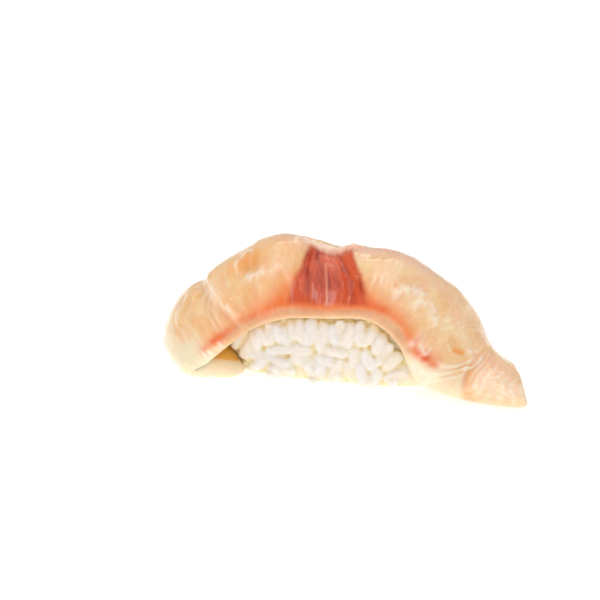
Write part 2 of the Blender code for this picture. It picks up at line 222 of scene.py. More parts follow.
GRAIN_GROOVE = (0.05, 0.16)  # depth and half width of its groove, as shares of the width
GRAIN_DENTS = 0.09  # depth of its dents, as a share of its own size
DENT_SIZE = 1.6 * MM
GRAIN_TILT = 0.12  # how far a grain leans out of its layer, as the slope of its axis
SLICE_OVERLAP = 0.2 * MM  # a grain that lies deeper than this in the slice is left out
LOWEST_FACING = -0.5  # no grains start where the block faces further down than this
GRAIN_PACKING = 0.86  # distance of grains pressed side by side, as a share of their width
GRAIN_CROWDING = 0.42  # a grain whose middle is closer than this to another's is left out
GRAIN_VOXEL = 0.29 * MM  # step of the skin round the grains that stick together
CLEARANCE = 0.05 * MM  # between the grains and the slice
LAYERS = (  # grains, how far their middles stand out of the block, and how upright they are
    (240, -0.6 * MM, 1.0),
    (200, 0.8 * MM, 3.0),
)
CREASE_SHADE_HEIGHTS = (2.0, 0.8)  # mm over the block: from one to the other the grains turn to the warm painted shade of the creases
GRAIN_LIFT = 1.0 * MM  # the most that the lowest grains stay above the plate
SETTLING_STEPS = 60
SETTLING_PACE = 0.3  # share of each overlap that one step takes away
SEED = 11

# Camera and light.
AZIMUTH = math.radians(14.0)
ELEVATION = math.radians(22.0)
DISTANCE = 0.60
LENS = 147.6
AIM = (-0.01294, 0.00434, 0.01447)
LIGHT_AIM = (0, 0, 0.012)


def srgb(red, green, blue):
    """A colour given in the 0 to 255 steps of a screen, as the shader wants it."""
    steps = [c / 255 for c in (red, green, blue)]
    return [c / 12.92 if c < 0.04045 else ((c + 0.055) / 1.055) ** 2.4 for c in steps] + [1.0]


# Shape of the slice


def slice_length():
    points = np.asarray(CREST) * MM
    return np.linalg.norm(np.diff(points, axis=0), axis=1).sum()


def station_shares():
    """Where the guide curves' points lie along the slice, as shares of its length."""
    steps = np.linalg.norm(np.diff(np.asarray(CREST), axis=0), axis=1)
    return np.concatenate([[0.0], np.cumsum(steps)]) / steps.sum()


def along(points, u):
    """Points of the smooth guide curve through the given ones, in metres."""
    points = np.asarray(points, float) * MM
    knots = station_shares()
    slopes = np.gradient(points, knots, axis=0)
    i = np.clip(np.searchsorted(knots, u, side="right") - 1, 0, len(knots) - 2)
    gap = (knots[i + 1] - knots[i])[..., None]
    t = (u - knots[i])[..., None] / gap
    return (
        (1 + 2 * t) * (1 - t) ** 2 * points[i]
        + t * (1 - t) ** 2 * gap * slopes[i]
        + t * t * (3 - 2 * t) * points[i + 1]
        + t * t * (t - 1) * gap * slopes[i + 1]
    )


def end_round(u, length):
    """1 along the slice, falling as a quarter circle to 0 at both ends."""
    inward = np.clip(np.minimum(u, 1 - u) * slice_length() / length, 0, 1)
    return np.sqrt(1 - (1 - inward) ** 2)


def swell(a, b, at, size):
    """A soft round bump over the flat slice, at a point and of a size in millimetres."""
    return np.exp(-(((a - at[0]) / size[0]) ** 2) - ((b - at[1]) / size[1]) ** 2)


def swells(a, b, table):
    return sum(rise * swell(a, b, at, size) for rise, at, size in table)


def flat_place(u, v):
    """Millimetres along and across the flattened slice, from the middle of the pinch."""
    return (u - PINCH_SHARE) * slice_length() / MM, v * HALF_WIDTH


def back_edge(u):
    """The back edge's guide curve: the crest, drawn in, lowered and pushed back."""
    crest = along(CREST, u)
    a, _ = flat_place(u, 0)
    raised = np.clip((crest[..., 2] - LYING_HEIGHT) / PULL_HEIGHT, 0, 1) ** 0.5
    tail = smooth(TAIL_START, TAIL_START + ENDS_BLEND, a)
    heel = smooth(HEEL_START, HEEL_START - ENDS_BLEND, a)
    x = crest[..., 0] * (1 - BACK_PULL * raised) + heel * HEEL_TUCK - tail * TAIL_SKEW
    y = crest[..., 1] + BACK_REACH * (1 - ENDS_NARROWING * np.maximum(tail, heel))
    z = LYING_HEIGHT + (crest[..., 2] - LYING_HEIGHT) * BACK_HEIGHT
    return np.stack([x, y, z], axis=-1)


def middle(u, v):
    """The middle of the slice's thickness: u runs along it, v from front to back."""
    crest, front, back = along(CREST, u), along(FRONT_EDGE, u), back_edge(u)
    width = END_WIDTH + (1 - END_WIDTH) * end_round(u, END_ROUNDING)
    across = (v * width)[..., None]
    slope = (back - front) / 2
    droop = (front + back) / 2 - crest
    return crest + slope * across + droop * across**2


def normal(u, v):
    step = 1e-3
    du = middle(np.clip(u + step, 0, 1), v) - middle(np.clip(u - step, 0, 1), v)
    dv = middle(u, np.clip(v + step, -1, 1)) - middle(u, np.clip(v - step, -1, 1))
    across = np.cross(du, dv)
    return across / np.linalg.norm(across, axis=-1, keepdims=True)


def thickness(u, v):
    ends = np.clip(np.abs(2 * u - 1), 0, 1) ** 3
    edges = np.abs(v) ** 2
    share = (1 - (1 - END_THICKNESS) * ends) * (1 - (1 - EDGE_THICKNESS) * edges)
    return THICKNESS * share


def fan_share(a, b, form=(FAN_START, FAN_LEAN, FAN_TOP, FAN_FOOT, 1.0)):
    """Where a point lies across the blood line's fan: -1 at its left side, 1 at its right."""
    start, lean, top, foot, flare = form
    half = top + (foot - top) * np.clip(-b / HALF_WIDTH, 0, 1) ** flare
    return (a - start + lean * np.minimum(b, 0)) / half


def relief(a, b):
    """Height in mm of the upper face over the plain slice: bulges beside a hollow fan."""
    fade = np.clip(1.25 - np.abs(b - FAN_MIDDLE) / FAN_REACH, 0, 1)
    height = -FAN_DEPTH * np.exp(-(fan_share(a, b) ** 4)) * fade
    return height + swells(a, b, SWELLS)


def smooth(low, high, value):
    """0 below low, 1 above high, and a smooth step between them."""
    t = np.clip((value - low) / (high - low), 0, 1)
    return t * t * (3 - 2 * t)


def rough(a, b, size, seed):
    """Smooth random bumps of a size in mm, between -1 and 1."""
    stretch_a, stretch_b = size if isinstance(size, tuple) else (size, size)
    places = zip(np.ravel(a) / stretch_a, np.ravel(b) / stretch_b)
    values = [noise.noise(Vector((x, y, seed))) for x, y in places]
    return np.reshape(values, np.shape(a))


# Detail of the slice. Each of these is a pattern over the flattened slice, in mm.


def bell(value, width):
    """1 where the value is 0, falling softly to 0 on both sides of it."""
    return np.exp(-((value / width) ** 2))


def stroke(a, b, half_width, path):
    """A soft line along a path of points."""
    closest = np.full(np.shape(a), np.inf)
    for (a1, b1), (a2, b2) in zip(path, path[1:]):
        long, wide = a2 - a1, b2 - b1
        share = np.clip(((a - a1) * long + (b - b1) * wide) / (long**2 + wide**2), 0, 1)
        closest = np.minimum(closest, np.hypot(a - a1 - share * long, b - b1 - share * wide))
    return bell(closest, half_width)


def strokes(a, b):
    """All the pale strokes, and the hatching, which is a row of dashes, both uneven."""
    a = a + 0.6 * rough(a, b, 3.0, 4.4)
    b = b + 0.6 * rough(a, b, 3.0, 7.7)
    lines = sum(stroke(a, b, *one) for one in STROKES)
    lines = lines + 0.8 * stroke(a, b, *HATCH) * ridges(a - 0.5 * b, 1.5, 0.4)
    return lines * smooth(-0.6, 0.3, rough(a, b, 1.1, 5.2))


def notch_offset(a, b):
    """How far a point lies to the right of the fold that ends before the tail."""
    return a - 47.2 + 0.62 * (b + 10.5)


def ridges(distance, spacing, width):
    """Thin ridges every so many mm of a distance."""
    off = np.abs((distance / spacing + 0.5) % 1 - 0.5) * spacing
    return bell(off, width)


def lobe_edge(a, b):
    """How far a point lies to the right of the left lobe's edge, which laps the tucked end."""
    return a + 32.0 - 0.028 * np.minimum(b + 1, 0) ** 2


def left_flakes(a, b, wobble):
    """Curved flakes round the tucked end, like the layers of an onion."""
    reach = np.hypot((a + 27) * 0.9, (b + 13)) + 1.7 * wobble
    broken = smooth(-0.35, 0.3, rough(a, b, (4.0, 2.5), 9.9))
    place = smooth(3, 6, reach) * smooth(0.5, -1.5, lobe_edge(a, b))
    return ridges(reach, 2.5, 0.42) * (0.35 + 0.65 * broken) * place


def knee_flakes(a, b, wobble):
    """Folded layers, one in another, below the crevice."""
    right = 0.79 * (a - 39.7) + 0.69 * (b + 7.9)
    down = 0.52 * (a - 39.7) - 0.69 * (b + 7.9)
    reach = np.hypot(right / 1.8, down) + 0.8 * wobble
    place = smooth(0.0, 1.2, down) * smooth(1.5, 2.3, reach)
    place = place * smooth(7.5, 6, reach) * smooth(3, -3, b)
    return ridges(reach, 1.45, 0.34) * place * smooth(47, 46, a)


def tail_flakes(a, b, wobble):
    """Stripes across the flat tail."""
    place = smooth(0.5, 2, notch_offset(a, b)) * (0.3 + 0.7 * smooth(3, -6, b))
    return ridges(a + 0.05 * b + 1.1 * wobble, 1.75, 0.42) * place


def lobe_flakes(a, b, wobble):
    """Faint flakes over both lobes, bent like a row of Vs."""
    bent = np.abs(a) + 0.35 * np.abs(b + 5) + 1.6 * wobble
    behind = smooth(2, 6, b)
    away = smooth(38, 33, np.abs(a)) * smooth(-1, 1, lobe_edge(a, b))
    away = away * np.maximum(smooth(13, 17, np.abs(a)), behind) * (1 + behind)
    broken = 0.55 + 0.45 * smooth(-0.3, 0.3, wobble)
    return ridges(bent, 3.7, 0.45 + 0.25 * behind) * away * broken


def red_line_place(a):
    """How far across the slice the red line runs: along the front lip, with a kink."""
    return -13.1 - 0.8 * smooth(-8, -18, a) - 0.8 * smooth(24, 31, a) + 1.5 * smooth(31, 37, a)


def line_offset(a, b, wobble):
    """How far a point lies behind the red line."""
    return b - red_line_place(a) - 0.25 * wobble


def line_reach(a):
    """1 along the red line, and 0 beyond its two ends."""
    return smooth(-45, -40, a) * smooth(40.5, 38, a)


def near_the_fan(a):
    return bell(a - 4, 17.0)


def fan_offset(a, b, fine, wobble):
    """Where a point lies from the middle of the red fan, which is 0, to its ragged sides, 1."""
    return np.abs(fan_share(a, b, BLOOD_FAN)) + 0.03 * fine + 0.07 * wobble


def blood_fan(a, b, fine, wobble):
    """The red fan, with a ragged upper end."""
    ragged = rough(fan_share(a, b, BLOOD_FAN) * 5, b, (0.9, 14.0), 5.7)
    across = smooth(-13.9, -12.7, b + 0.3 * wobble) * smooth(1.0, -0.8, b + 0.4 * ragged)
    return smooth(1.05, 0.86, fan_offset(a, b, fine, wobble)) * across


def fan_skirt(a, b, fine, wobble):
    """Orange that spreads from the fan's foot, further to its left than to its right."""
    fade = np.where(fan_share(a, b, BLOOD_FAN) < 0, 5.4, 14.0)
    outside = np.clip(fan_offset(a, b, fine, wobble) - 0.95, 0, None)
    return np.exp(-outside * fade) * smooth(-14.5, -13, b) * smooth(-3, -12, b)


def red_line(a, b, fine, wobble):
    """The line along the front lip, with two gaps and two bright spots."""
    near_fan = near_the_fan(a)
    spot = bell(a - 34.6, 2.4) + 0.7 * bell(a + 37, 4.0)
    gap = 1 - 0.8 * bell(a - 30.8, 1.1) - 0.7 * bell(lobe_edge(a, b) - 1.5, 3.0)
    spread = 0.5 + 0.55 * near_fan + 0.25 * spot
    line = bell(line_offset(a, b, wobble), spread) * line_reach(a)
    line = line * (0.3 + 0.6 * near_fan + 0.6 * spot + 0.4 * fine)
    below_fan = smooth(1.0, 0.8, fan_offset(a, b, fine, wobble))
    return line * (1 - 0.5 * below_fan) * (1 - 0.75 * swell(a, b, *PALE_LINE)) * gap


def line_glow(a, b, wobble):
    """Orange that spreads from the red line up the slice, and hardly down to the lip."""
    offset = line_offset(a, b, wobble)
    glow = bell(np.clip(offset, 0, None), 1.6 + 2.5 * near_the_fan(a)) * line_reach(a)
    glow = glow * bell(np.clip(offset, None, 0), 0.6)
    return glow * (0.45 + 0.55 * smooth(-32, -12, a))


def flakes_and_highlights(a, b, wobble):
    """Pale layers of muscle, wherever they show, and painted highlights on the wrinkles."""
    return (
        0.55 * left_flakes(a, b, wobble)
        + 1.3 * knee_flakes(a, b, wobble)
        + (0.6 + 0.6 * smooth(-3, -8, b)) * tail_flakes(a, b, wobble)
        + 0.3 * lobe_flakes(a, b, wobble)
        + 0.6 * bell(notch_offset(a, b) + 1.2, 0.5) * smooth(-5, -9, b)
        + 0.5 * swells(a, b, WRINKLES)
    )


def amber_and_hollow_shade(a, b):
    """Deeper orange: a stain over the lobes, the left end and the tail, and painted shade in the
    hollows, in the crevice and in the notch.
    """
    beyond = notch_offset(a, b)
    return (
        swells(a, b, AMBER_AND_SHADE_SPOTS)
        + 1.6 * stroke(a, b, *CREVICE)
        + 0.12 * smooth(1, 4, beyond)
        + 0.3 * bell(beyond, 0.8) * smooth(-10, -13, b)
    )


def lip(a, b, w, fine, wobble):
    """The darker lip over the rice."""
    front = np.clip(smooth(0.9, 0.5, w) + smooth(-13.3, -14.3, b), 0, 1)
    front = front * smooth(-11, -13, b) * smooth(40, 30, a) * smooth(-40, -30, a)
    return front * np.clip(0.85 + 0.12 * fine + 0.4 * wobble, 0, 1)


def pale(a, b, shown, wobble):
    """Nearly white flesh: the tucked end, the fold over the knee and part of the tail."""
    beyond = notch_offset(a, b)
    heel = smooth(-38, -43, a) * smooth(-9, -13, b + 1.5 * wobble) + smooth(-44, -48, a)
    fold = smooth(28, 35, a) * smooth(0.5, -1, beyond) * smooth(-10.5, -13, b + wobble)
    tail = smooth(1, 3, beyond) * smooth(-2, -8, b)
    return shown * heel + 0.9 * fold + 0.5 * tail


def underside_glow_and_shade(a, b, w):
    """The flesh that shows under the slice, apart from the tucked end's front, painted amber for
    the glow of light through the flesh in shade.
    """
    tucked_front = smooth(-47, -52, a) * smooth(-13.4, -14.4, b)
    return smooth(-0.5, -0.95, w) * smooth(46, 42, a) * (1 - tucked_front)


def patterns(a, b, w):
    """The slice's colour patterns, 0 to 1, as a dictionary of arrays."""
    wobble = rough(a, b, 5.0, 3.1)
    fine = rough(a, b, 1.3, 8.4)
    upper = smooth(-0.2, 0.7, w)
    front_lip = smooth(-13.4, -14.4, b)
    blood = blood_fan(a, b, fine, wobble)
    fringe = fan_skirt(a, b, fine, wobble) + 0.8 * line_glow(a, b, wobble)
    line = red_line(a, b, fine, wobble) * (1 - 0.9 * blood)
    blotches = 0.5 * smooth(0.05, 0.4, rough(a, b, 4.5, 12.7))
    made = {
        "blood": blood * upper,
        "fringe": np.clip(fringe, 0, 1) * upper,
        "line": np.clip(line, 0, 1) * smooth(-0.6, 0.5, w),
        # pale flakes, and painted highlights on the wrinkles
        "flake_and_highlight": np.clip(flakes_and_highlights(a, b, wobble), 0, 1) * upper * np.clip(0.7 + 0.8 * fine, 0, 1),
        "glint": np.clip(strokes(a, b), 0, 1) * upper,
        "streak": stroke(a, b, *FAN_STREAK) * upper,
        "lip": lip(a, b, w, fine, wobble),
        # painted shade on the tail's lower side and lip, which face down
        "edge": smooth(0.7, -0.3, w) * smooth(38, 46, a),
        "rim": smooth(0.8, -0.2, w) * smooth(-11, -13, b) * (0.5 + 0.5 * near_the_fan(a)),
        # orange stain, with painted shade in the hollows, the crevice and the notch
        "amber_and_hollow_shade": np.clip(amber_and_hollow_shade(a, b), 0, 1) * upper,
        "blush": swell(a, b, *BLUSH) * upper,
        # painted glow and shade under the slice
        "underside_glow_and_shade": underside_glow_and_shade(a, b, w),
        "pink": np.clip(swells(a, b, PINK_SPOTS) + blotches, 0, 1),
        "pale": np.clip(pale(a, b, np.clip(upper + front_lip, 0, 1), wobble), 0, 1),
    }
    return made


def fan_fibres(a, b):
    """Height in mm of the coarse and thin fibres that run down the hollow fan."""
    share = fan_share(a, b)
    place = smooth(1.0, 0.8, np.abs(share)) * smooth(-14, -12, b) * smooth(1, -1, b)
    place = place * (0.4 + 0.6 * smooth(-13, -9, b))
    coarse = rough(share * 9, b, (0.9, 12.0), 5.7)
    thin = rough(share * 22, b, (0.9, 9.0), 2.2)
    return (0.10 * coarse + 0.05 * thin) * place


def fine_relief(a, b):
    """Height in mm of the flakes, fibres, folds and unevenness on the upper face."""
    wobble = rough(a, b, 5.0, 3.1)
    edge = lobe_edge(a, b)
    beyond = notch_offset(a, b)
    heights = (
        0.28 * rough(a, b, 6.0, 1.3),
        0.14 * rough(a, b, (2.0, 3.0), 6.6),
        0.05 * rough(a, b, (0.8, 1.3), 2.6),
        0.12 * left_flakes(a, b, wobble),
        0.32 * knee_flakes(a, b, wobble),
        0.08 * tail_flakes(a, b, wobble),
        0.07 * lobe_flakes(a, b, wobble),
        fan_fibres(a, b),
        0.7 * bell(b - 1.9, 1.2) * smooth(9, 5, np.abs(a)),  # ridge above the fan
        -0.3 * bell(b + 0.3, 0.9) * smooth(7, 4, np.abs(a - 1)),  # groove under that ridge
        0.35 * swells(a, b, WRINKLES),
        0.22 * strokes(a, b),
        0.5 * bell(edge - 1.6, 1.4) * smooth(2, -4, b),  # edge of the left lobe
        -0.4 * bell(edge + 0.8, 1.3) * smooth(2, -4, b),  # groove beside it
        -0.6 * swell(a, b, (-19.5, -5.5), (2.5, 1.5)),  # hollow in the left lobe
        0.6 * swell(a, b, (34.0, -12.3), (0.8, 1.5)),  # edge over the bright spot
        -0.5 * bell(a - 31.0, 0.7) * smooth(-9, -12, b),  # cut beside it
        0.7 * swell(a, b, (39.5, -7.5), (3, 2)),  # a crevice less deep than the solid's
        -0.15 * stroke(a, b, *CREVICE),
        0.4 * bell(beyond + 1.2, 0.9) * smooth(-5, -9, b),  # end of the fold over the knee
        -0.2 * bell(beyond, 0.6) * smooth(-7, -12, b),  # notch before the tail
        0.9 * swell(a, b, (48.5, -12), (2, 6)),  # less deep than the solid's
    )
    return sum(heights)


def outline():
    """One turn round the slice's section: v across it, w from -1 below to 1 above."""
    turn = np.linspace(0, math.pi / 2, LIP_STEPS + 1)
    rise_w = np.sin(turn)
    rise_v = 1 - LIP * (1 - np.cos(turn))
    top_v = np.linspace(-(1 - LIP), 1 - LIP, TOP_STEPS + 1)[1:-1]
    low_v = np.linspace(1 - LIP, -(1 - LIP), UNDER_STEPS + 1)[1:-1]
    v = np.concatenate([-rise_v, top_v, rise_v[::-1], rise_v[1:], low_v, -rise_v[:0:-1]])
    ones = np.ones_like
    w = np.concatenate(
        [rise_w, ones(top_v), rise_w[::-1], -rise_w[1:], -ones(low_v), -rise_w[:0:-1]]
    )
    return v, w


def slice_surface(u, v, w, fine=True):
    """Points of the slice's skin, pressed flat where it lies on the plate."""
    tip = end_round(u, 0.5 * THICKNESS * END_THICKNESS)
    a, b = flat_place(u, v)
    height = relief(a, b)
    if fine:
        height = height + fine_relief(a, b)
    upper = height * np.maximum(w, 0)
    lower = swells(a, b, UNDER_SWELLS) * np.minimum(w, 0)
    rise = (0.5 * thickness(u, v) * w + MM * (upper + lower)) * tip
    skin = middle(u, v) + normal(u, v) * rise[..., None]
    skin[..., 2] = np.maximum(skin[..., 2], 0)
    return skin


def slice_grid():
    v, w = outline()
    rim = 0.5 * THICKNESS * END_THICKNESS / slice_length()
    turn = np.linspace(0, math.pi / 2, LIP_STEPS + 1)
    start = rim * (1 - np.cos(turn))
    body = np.linspace(rim, 1 - rim, LONG_STEPS + 1)[1:-1]
    u = np.concatenate([start, body, 1 - start[::-1]])
    grid_u, grid_v = np.meshgrid(u, v, indexing="ij")
    return grid_u, grid_v, np.broadcast_to(w, grid_u.shape)


def set_values(mesh, name, values):
    """Stores one number for each vertex under a name that materials can read."""
    made = mesh.attributes.new(name, "FLOAT", "POINT")
    made.data.foreach_set("value", np.ascontiguousarray(values, dtype=np.float32).ravel())


def make_slice():
    """The slice of fish as a closed skin, with its patterns stored in the mesh."""
    u, v, w = slice_grid()
    points = slice_surface(u, v, w)
    plain = slice_surface(u, v, w, fine=False)
    low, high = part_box("fish_slice")
    here = (plain.min(axis=(0, 1)) + plain.max(axis=(0, 1))) / 2
    shift = (np.array(low) + np.array(high)) / 2 - here
    shift[2] = 0
    count, size = u.shape
    index = np.arange(count * size).reshape(count, size)
    across = np.roll(index, -1, axis=1)
    quads = np.stack([index[:-1], index[1:], across[1:], across[:-1]], axis=-1).reshape(-1, 4)
    mesh = bpy.data.meshes.new("fish")
    mesh.from_pydata((points + shift).reshape(-1, 3), [], quads.tolist())
    a, b = flat_place(u, v)
    for name, values in patterns(a, b, w).items():
        set_values(mesh, name, values)
    set_values(mesh, "along_slice", a)
    set_values(mesh, "across_slice", b)
    set_values(mesh, "across_fan", fan_share(a, b))
    skin = bmesh.new()
    skin.from_mesh(mesh)
    bmesh.ops.remove_doubles(skin, verts=skin.verts, dist=WELD)
    bmesh.ops.dissolve_degenerate(skin, edges=skin.edges, dist=WELD)
    bmesh.ops.recalc_face_normals(skin, faces=skin.faces)
    skin.to_mesh(mesh)
    skin.free()
    mesh.shade_smooth()
    fish = bpy.data.objects.new("fish", mesh)
    bpy.context.scene.collection.objects.link(fish)
    return fish, Vector(shift)


# Shape of the rice


def tree_of(obj):
    return BVHTree.FromPolygons(
        [v.co.copy() for v in obj.data.vertices],
        [tuple(p.vertices) for p in obj.data.polygons],
    )


def ball(sides, rings):
    """Points of a ball of radius 1 with its poles on the Z axis, and its faces."""
    points = [(0.0, 0.0, 1.0)]
    for ring in range(1, rings):
        down = math.pi * ring / rings
        turns = [2 * math.pi * side / sides for side in range(sides)]
        level = [(math.sin(down) * math.cos(t), math.sin(down) * math.sin(t)) for t in turns]
        points += [(x, y, math.cos(down)) for x, y in level]
    points.append((0.0, 0.0, -1.0))
    last = len(points) - 1
    faces = []
    for side in range(sides):
        after = (side + 1) % sides
        faces.append([0, 1 + side, 1 + after])
        for row in range(1, last - sides, sides):
            faces.append([row + side, row + sides + side, row + sides + after, row + after])
        faces.append([last - sides + side, last, last - sides + after])
    return [Vector(p) for p in points], faces


def rice_block(name, slice_tree, shift):
    """The pressed block: a rounded brick with a flat foot, kept under the slice."""
    half = Vector((RICE_LENGTH, RICE_WIDTH, RICE_HEIGHT)) / 2
    round_points, faces = ball(64, 32)
    points = []
    for point in round_points:
        brick = [math.copysign(abs(c) ** RICE_CORNER, c) * h for c, h in zip(point, half)]
        place = Vector(brick) + Vector((RICE_MIDDLE, 0, half.z - FOOT_CUT))
        place.z = max(place.z, 0)
        heart = Vector((place.x * HEART_SHARE, 0, np.clip(place.z, *HEART_HEIGHTS)))
        way = place - heart
        room = slice_tree.ray_cast(heart + shift, way.normalized())[3]
        if room is not None and room < way.length + CORE_CLEARANCE:
            place = heart + way.normalized() * (room - CORE_CLEARANCE)
        points.append(place + shift)
    mesh = bpy.data.meshes.new(name)
    mesh.from_pydata(points, [], faces)
    mesh.shade_smooth()
    return bpy.data.objects.new(name, mesh)


def sink(obj, depth=0.0):
    """Draws a skin in along its normals, and lifts its foot a little."""
    foot = min(v.co.z for v in obj.data.vertices)
    normals = [v.normal.copy() for v in obj.data.vertices]
    for vert, way in zip(obj.data.vertices, normals):
        vert.co -= way * depth
        vert.co.z = max(vert.co.z, foot + FOOT_LIFT)


def steady(values):
    """The values rounded, so that no tiny difference can grow while the grains settle."""
    return np.round(values, 8)


def across_to(vectors, facing):
    """The vectors turned square to the directions they face, at unit length."""
    flat = vectors - facing * (vectors * facing).sum(axis=1, keepdims=True)
    return flat / np.maximum(np.linalg.norm(flat, axis=1, keepdims=True), 1e-9)


def nearest(tree, points):
    """For each point, the closest place on the tree's skin and the way it faces."""
    found = [tree.find_nearest(Vector(p)) for p in points]
    return np.array([f[0] for f in found]), np.array([f[1] for f in found])


def scattered(block, slice_tree, count, rng):
    """Random points over the part of the block's skin that the slice leaves bare."""
    points = []
    triangles = block.data.loop_triangles
    area = np.array([t.area for t in triangles])
    while len(points) < count:
        picked = triangles[rng.choice(len(triangles), p=area / area.sum())]
        one, two, three = [block.data.vertices[i].co for i in picked.vertices]
        x, y = rng.random_sample(2)
        point = one.lerp(two, x).lerp(three, y * (1 - 0.5 * x))
        room = (slice_tree.find_nearest(point)[0] - point).length
        if room > GRAIN_WIDTH / 3 and picked.normal.z > LOWEST_FACING:
            points.append(point)
    return steady(np.array(points))


def closest_shares(start, along_1, along_2, half):
    """Where pairs of grains come closest, from -half to half along each of them."""
    dot = np.clip((along_1 * along_2).sum(axis=-1), -0.999, 0.999)
    one = (start * along_1).sum(axis=-1)
    two = (start * along_2).sum(axis=-1)
    s = np.clip((one - dot * two) / (1 - dot**2), -half, half)
    t = np.clip(s * dot - two, -half, half)
    s = np.clip(t * dot + one, -half, half)
    return s, t


def out_of_the_slice(points, along_grain, slice_tree):
    """How far each grain must move, and which way, to keep its distance from the slice."""
    needed = GRAIN_WIDTH * GRAIN_FLATNESS / 2 + CLEARANCE
    move = np.zeros_like(points)
    for share in (-0.4, -0.2, 0, 0.2, 0.4):
        probe = points + along_grain * GRAIN_LENGTH * share
        cover, cover_facing = nearest(slice_tree, probe)
        room = ((probe - cover) * cover_facing).sum(axis=1, keepdims=True)
        away = cover_facing * np.clip(needed - room, 0, GRAIN_WIDTH)
        longer = np.linalg.norm(away, axis=1) > np.linalg.norm(move, axis=1)
        move[longer] = away[longer]
    return move


def settle(points, along_grain, proud, block_tree, slice_tree):
    """Pushes the grains apart until they lie side by side on the block."""
    half = (GRAIN_LENGTH - GRAIN_WIDTH) / 2
    for _ in range(SETTLING_STEPS):
        start = points[None] - points[:, None]
        one = np.broadcast_to(along_grain[:, None], start.shape)
        two = np.broadcast_to(along_grain[None], start.shape)
        s, t = closest_shares(start, one, two, half)
        apart = start + two * t[..., None] - one * s[..., None]
        gap = np.linalg.norm(apart, axis=-1)[..., None]
        push = np.clip(GRAIN_WIDTH * GRAIN_PACKING - gap, 0, None) * apart
        push = push / np.maximum(gap, 0.01 * MM)
        turn = (push * s[..., None]).sum(axis=1) / half**2
        points = steady(points - SETTLING_PACE * push.sum(axis=1))
        surface, facing = nearest(block_tree, points)
        cover, _ = nearest(slice_tree, surface)
        room = np.linalg.norm(surface - cover, axis=1, keepdims=True)
        room = room - GRAIN_WIDTH * GRAIN_FLATNESS / 2 - CLEARANCE
        points = steady(surface + facing * np.clip(room, -GRAIN_WIDTH / 2, proud))
        along_grain = steady(across_to(along_grain - SETTLING_PACE * turn, facing))
        points = steady(points + out_of_the_slice(points, along_grain, slice_tree))
    return points, along_grain


def grain_form(sides=14, rings=11):
    """A plump grain of rice lying along X, and its faces."""
    half = Vector((GRAIN_LENGTH, GRAIN_WIDTH, GRAIN_WIDTH * GRAIN_FLATNESS)) / 2
    round_points, faces = ball(sides, rings)
    points = []
    for point in round_points:
        fat = max(point.xy.length, 0.01) ** -GRAIN_FULLNESS
        points.append(Vector((point.z, point.y * fat, point.x * fat)) * half)
    return np.array(points), faces


def one_grain(form, rng):
    """A copy of the grain with its own size, bend, taper and dents."""
    points = form * rng.uniform(*GRAIN_SIZES, size=3)
    share = points[:, 0] / (GRAIN_LENGTH / 2)
    bend_sideways, bend_up = GRAIN_BENDS
    groove_depth, groove_width = GRAIN_GROOVE
    points[:, 1] *= 1 + GRAIN_TAPER * rng.normal() * share
    points[:, 2] += rng.normal() * bend_up * GRAIN_WIDTH * (share**2 - 0.4)
    points[:, 1] += rng.normal() * bend_sideways * GRAIN_WIDTH * (share**2 - 0.4)
    groove = bell(points[:, 1], groove_width * GRAIN_WIDTH)
    points[:, 2] -= groove_depth * GRAIN_WIDTH * groove * np.sign(points[:, 2])
    seed = rng.uniform(0, 100)
    dents = [noise.noise(Vector(p) / DENT_SIZE + Vector((seed, 0, 0))) for p in points]
    return points * (1 + GRAIN_DENTS * np.array(dents))[:, None]


def lay_grains(block_tree, slice_tree, block, layer, rng):
    """Points of one layer's grains, one array for each grain."""
    count, proud, upright = layer
    points = scattered(block, slice_tree, count, rng)
    _, facing = nearest(block_tree, points)
    lying = steady(across_to(rng.normal(size=points.shape) + (0, 0, upright), facing))
    points, lying = settle(points, lying, proud, block_tree, slice_tree)
    _, facing = nearest(block_tree, points)
    crossing = np.linalg.norm(out_of_the_slice(points, lying, slice_tree), axis=1)
    form, _ = grain_form()
    laid, middles = [], []
    for n in np.flatnonzero(crossing < SLICE_OVERLAP):
        gaps = [np.linalg.norm(points[n] - other) for other in middles]
        if min(gaps, default=GRAIN_WIDTH) < GRAIN_CROWDING * GRAIN_WIDTH:
            continue
        middles.append(points[n])
        leaning = lying[n : n + 1] + GRAIN_TILT * rng.normal(size=(1, 3))
        tilt = across_to(leaning, facing[n : n + 1])
        axes = np.array([tilt[0], np.cross(facing[n], tilt[0]), facing[n]])
        grain = steady(one_grain(form, rng) @ axes + points[n])
        lowest = grain[:, 2].min()
        grain[:, 2] += max(GRAIN_LIFT * rng.random_sample() - lowest, 0)
        laid.append(grain)
    return laid


def joined(obj, voxel):
    """The skin round all of an object's overlapping parts, as a new mesh."""
    bpy.context.scene.collection.objects.link(obj)
    skin = obj.modifiers.new("skin", "REMESH")
    skin.mode = "VOXEL"
    skin.voxel_size = voxel
    shown = obj.evaluated_get(bpy.context.evaluated_depsgraph_get())
    mesh = bpy.data.meshes.new_from_object(shown)
    bpy.data.objects.remove(obj, do_unlink=True)
    return mesh


def filler_of(block):
    """Points and faces of a smaller block, which leaves the joined grains no inner skin."""
    filler = block.copy()
    filler.data = block.data.copy()
    sink(filler, FILLER_SUNK)
    points = np.array([v.co for v in filler.data.vertices])
    faces = [tuple(face.vertices) for face in filler.data.polygons]
    bpy.data.objects.remove(filler, do_unlink=True)
    return points, faces


def height_over(tree, points):
    """How far points stand out of the skin that a tree holds, in mm."""
    surface, facing = nearest(tree, points)
    return ((points - surface) * facing).sum(axis=1) / MM


